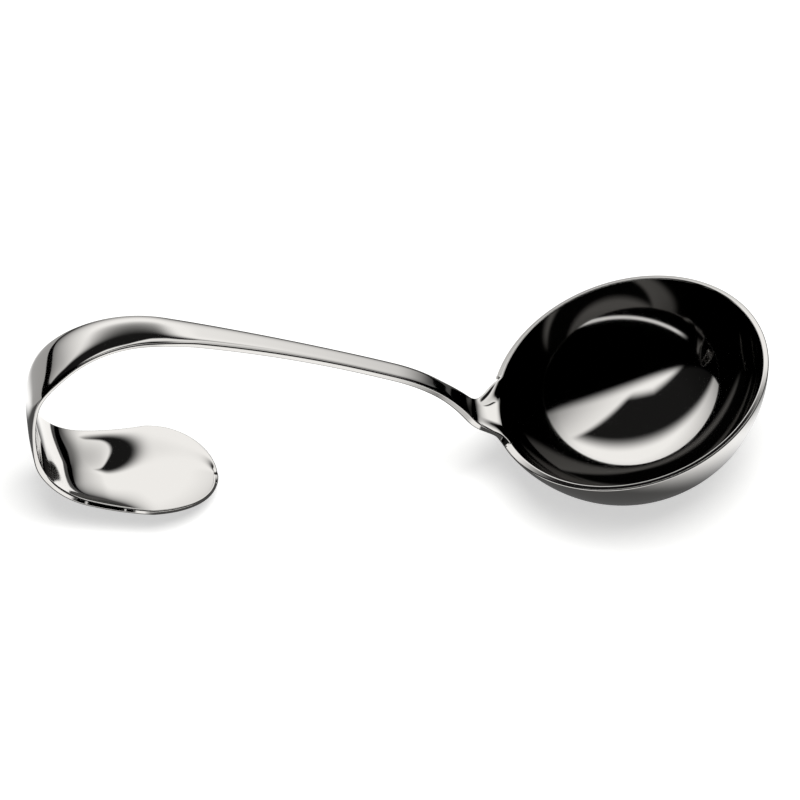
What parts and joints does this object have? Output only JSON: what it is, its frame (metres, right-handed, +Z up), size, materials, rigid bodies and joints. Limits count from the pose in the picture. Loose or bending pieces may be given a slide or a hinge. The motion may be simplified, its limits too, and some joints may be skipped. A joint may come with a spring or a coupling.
{
  "type": "ladle",
  "caption": "Small one-piece serving ladle: a round spherical bowl, a slim flat handle that arches up and curls under into a broad dished hook end, all polished steel",
  "frame": {"origin": "On the surface the ladle rests on, below the middle of its overall box: the bottom of the bowl and the underside of the handle's palm both stand at height zero.", "axes": "+X runs along the ladle from the curled end of the handle to the far side of the bowl, +Y is across it, and +Z is up. The ladle is symmetric across the XZ plane."},
  "size_m": [0.1778, 0.0678, 0.0576],
  "materials": {
    "polished_steel": "mirror-polished stainless steel"
  },
  "bodies": {
    "root": {"ladle": "polished_steel"}
  },
  "joints": []
}
